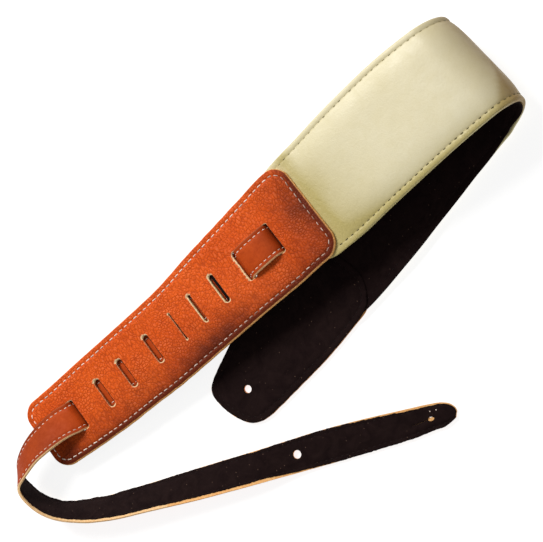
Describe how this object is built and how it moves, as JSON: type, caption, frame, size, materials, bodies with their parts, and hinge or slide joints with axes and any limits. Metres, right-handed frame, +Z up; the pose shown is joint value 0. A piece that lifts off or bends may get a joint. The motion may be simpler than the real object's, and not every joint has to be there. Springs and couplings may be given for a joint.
{
  "type": "guitar strap",
  "caption": "Padded leather guitar strap folded in two: cream shoulder pad, tan slotted adjuster panel with a woven narrow strap, suede back, tan end tab and stitching.",
  "frame": {"origin": "middle of the base: the centre of the bounding box in plan, at the height of the surface the strap lies on", "axes": "+X along the slotted adjuster panel towards the fold of the shoulder pad, +Y across the panel to its upper long edge, +Z up from the surface"},
  "size_m": [0.4686, 0.2162, 0.0506],
  "materials": {
    "panel_leather": "satin",
    "strap_leather": "satin",
    "cream_leather": "satin",
    "suede": "matte",
    "foam": "matte",
    "white_thread": "matte",
    "pad_thread": "matte",
    "dark_thread": "matte"
  },
  "bodies": {
    "rear_strap": {"end_tab_leather": "panel_leather", "end_tab_lining": "suede", "end_tab_needle_thread": "white_thread", "end_tab_bobbin_thread": "dark_thread", "pad_cover_rear_run": "cream_leather", "pad_foam_rear_run": "foam", "pad_backing_rear_run": "suede", "pad_needle_thread_rear_run": "pad_thread", "pad_bobbin_thread_rear_run": "dark_thread"},
    "front_strap": {"front_panel_leather": "panel_leather", "front_panel_lining": "suede", "front_panel_needle_thread": "white_thread", "front_panel_bobbin_thread": "dark_thread", "pad_cover_front_run": "cream_leather", "pad_foam_front_run": "foam", "pad_backing_front_run": "suede", "pad_needle_thread_front_run": "pad_thread", "pad_bobbin_thread_front_run": "dark_thread", "adjuster_strap_leather_woven_run": "strap_leather", "adjuster_strap_lining_woven_run": "suede", "adjuster_strap_needle_thread_woven_run": "white_thread", "adjuster_strap_bobbin_thread_woven_run": "dark_thread"},
    "tail": {"adjuster_strap_leather_tail": "strap_leather", "adjuster_strap_lining_tail": "suede", "adjuster_strap_needle_thread_tail": "white_thread", "adjuster_strap_bobbin_thread_tail": "dark_thread"}
  },
  "joints": [
    {"name": "pad_fold", "type": "hinge", "parent": "rear_strap", "child": "front_strap", "pos_m": [0.23188, 0.06357, 0.02535], "axis": [-0.0638, 0.998, 0], "range_deg": [0, 120]},
    {"name": "tail_curl", "type": "hinge", "parent": "front_strap", "child": "tail", "pos_m": [-0.23072, 0.04642, 0.01877], "axis": [0.0041, -0.4685, 0.8835], "range_deg": [0, 40]}
  ]
}
